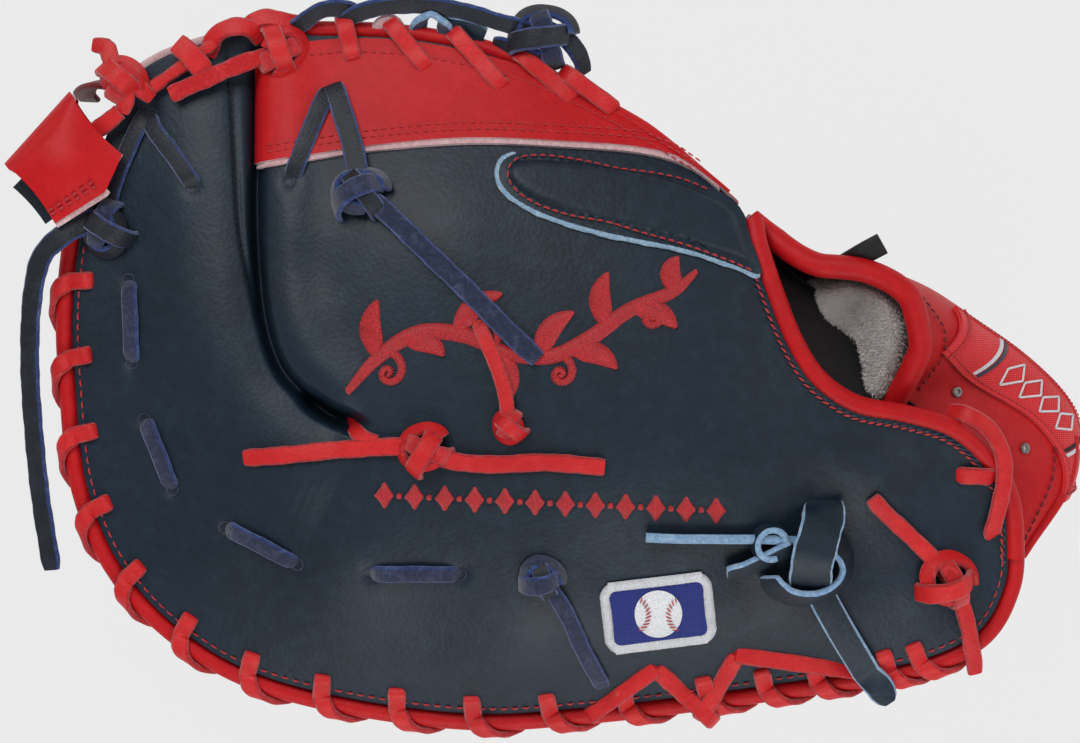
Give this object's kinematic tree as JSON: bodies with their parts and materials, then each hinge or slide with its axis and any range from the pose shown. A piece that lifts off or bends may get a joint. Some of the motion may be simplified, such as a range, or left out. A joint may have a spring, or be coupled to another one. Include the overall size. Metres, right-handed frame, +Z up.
{
  "type": "baseball mitt",
  "caption": "First-base style baseball mitt in navy and red leather, folded shut, with laced rim, web, fur-lined wrist strap and hinged halves.",
  "frame": {"origin": "centre of the bounding box at its base, on the table the folded mitt lies on", "axes": "+X from the finger tips to the wrist, +Y from the open rims to the spine, +Z up from the thumb back to the finger back"},
  "size_m": [0.3276, 0.2253, 0.1245],
  "materials": {
    "navy leather": "pebbled, satin",
    "red leather": "smooth, satin",
    "red lace": "rawhide, satin",
    "navy lace": "rawhide with suede side",
    "felt": "pressed felt",
    "black lining": "thin lining leather",
    "sheepskin": "short pile",
    "red cloth": "satin thread",
    "blue cloth": "satin thread",
    "white thread": "satin thread",
    "eyelet metal": "dull plated"
  },
  "bodies": {
    "thumb_half": {"thumb_back_shell": "navy leather", "thumb_palm_shell": "navy leather", "thumb_palm_pad": "felt", "thumb_stall_liner": "black lining", "thumb_rim_roll": "red leather", "thumb_rim_lace": "red lace", "thumb_loop": "black lining", "heel_pad": "felt"},
    "finger_half": {"finger_back_shell": "navy leather", "web_side_panel": "red leather", "index_finger_pad": "navy leather", "finger_palm_shell": "navy leather", "finger_palm_pad": "felt", "finger_stall_liner": "black lining", "finger_rim_roll": "red leather", "finger_rim_lace": "red lace", "web_edge_roll": "red leather", "web_edge_lace": "red lace", "opening_roll": "red leather", "running_lace": "navy lace", "little_finger_loop": "black lining", "badge_border": "white thread", "badge_field": "blue cloth", "embroidered_scroll": "red cloth", "embroidered_band": "red cloth", "crotch_knot": "red lace", "crotch_lace_tails": "red lace", "small_red_knot": "red lace", "web_back_knot": "navy lace", "web_back_tail": "navy lace", "web_back_lace": "navy lace", "tip_lace": "navy lace", "tip_knot": "navy lace", "hanging_tail": "navy lace", "small_navy_knot": "navy lace", "small_navy_tail": "navy lace", "thong_bow": "navy lace", "thong_tails": "navy lace", "heel_knot": "red lace", "heel_lace_tails": "red lace", "wrist_lace": "red lace", "web_end_strap": "red leather", "web_top_lace": "navy lace", "web_red_knots": "red lace", "web_suede_tail": "red lace"},
    "web": {"web_panel": "navy leather", "web_inner_loop": "red leather"},
    "wrist_strap": {"wrist_strap": "red leather", "strap_roll": "red leather", "strap_fur": "sheepskin", "strap_label": "red cloth", "strap_eyelets": "eyelet metal", "strap_tab": "black lining"}
  },
  "joints": [
    {"name": "mitt_fold", "type": "hinge", "parent": "thumb_half", "child": "finger_half", "pos_m": [0, 0.06, 0.056], "axis": [-0.9766, 0.2149, 0], "range_deg": [-4, 20]},
    {"name": "web_fold", "type": "hinge", "parent": "thumb_half", "child": "web", "pos_m": [0, 0.06, 0.056], "axis": [-0.9766, 0.2149, 0], "range_deg": [-2.5, 10.5]},
    {"name": "strap_fold", "type": "hinge", "parent": "thumb_half", "child": "wrist_strap", "pos_m": [0, 0.06, 0.056], "axis": [-0.9766, 0.2149, 0], "range_deg": [-2.5, 10.5]}
  ],
  "couplings": [
    {"joint": "web_fold", "follows": "mitt_fold", "ratio": 0.5},
    {"joint": "strap_fold", "follows": "mitt_fold", "ratio": 0.5}
  ]
}
